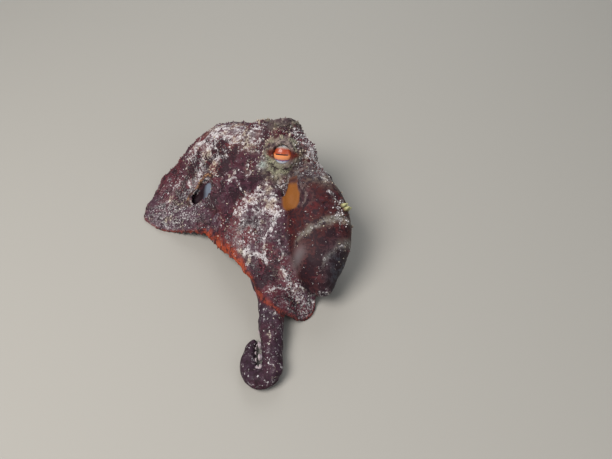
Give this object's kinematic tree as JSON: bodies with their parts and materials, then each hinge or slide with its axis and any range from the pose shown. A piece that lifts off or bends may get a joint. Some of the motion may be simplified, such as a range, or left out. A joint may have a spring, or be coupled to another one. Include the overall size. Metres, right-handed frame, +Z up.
{
  "type": "gloomy octopus",
  "caption": "Still, life-size gloomy octopus (Octopus tetricus) sitting with its web spread over its arms and its mantle slumped to one side.",
  "frame": {"origin": "the point of the floor below the middle of the animal's box", "axes": "+Z up from the floor the animal rests on; -X the way the animal faces; -Y its left side, which the picture shows"},
  "size_m": [0.1356, 0.1957, 0.0652],
  "materials": {
    "skin": "wet, mottled dark maroon skin with pale flecks",
    "funnel": "smooth wet ochre-orange skin",
    "eye": "clear wet cornea over an orange-red iris"
  },
  "bodies": {
    "root": {"arm_l1_base": "skin", "arm_l1_middle": "skin", "arm_l1_tip": "skin", "arm_l2_base": "skin", "arm_l2_middle": "skin", "arm_l2_tip": "skin", "arm_l3_base": "skin", "arm_l3_middle": "skin", "arm_l3_tip": "skin", "arm_l4_base": "skin", "arm_l4_middle": "skin", "arm_l4_tip": "skin", "arm_r4_base": "skin", "arm_r4_middle": "skin", "arm_r4_tip": "skin", "arm_r3_base": "skin", "arm_r3_middle": "skin", "arm_r3_tip": "skin", "arm_r2_base": "skin", "arm_r2_middle": "skin", "arm_r2_tip": "skin", "arm_r1_base": "skin", "arm_r1_middle": "skin", "arm_r1_tip": "skin", "web_l1_l2": "skin", "web_l2_l3": "skin", "web_l3_l4": "skin", "web_l4_r4": "skin", "web_r4_r3": "skin", "web_r3_r2": "skin", "web_r2_r1": "skin", "web_r1_l1": "skin", "head": "skin", "mantle": "skin", "funnel": "funnel", "eye_left": "eye", "eye_right": "eye"}
  },
  "joints": []
}
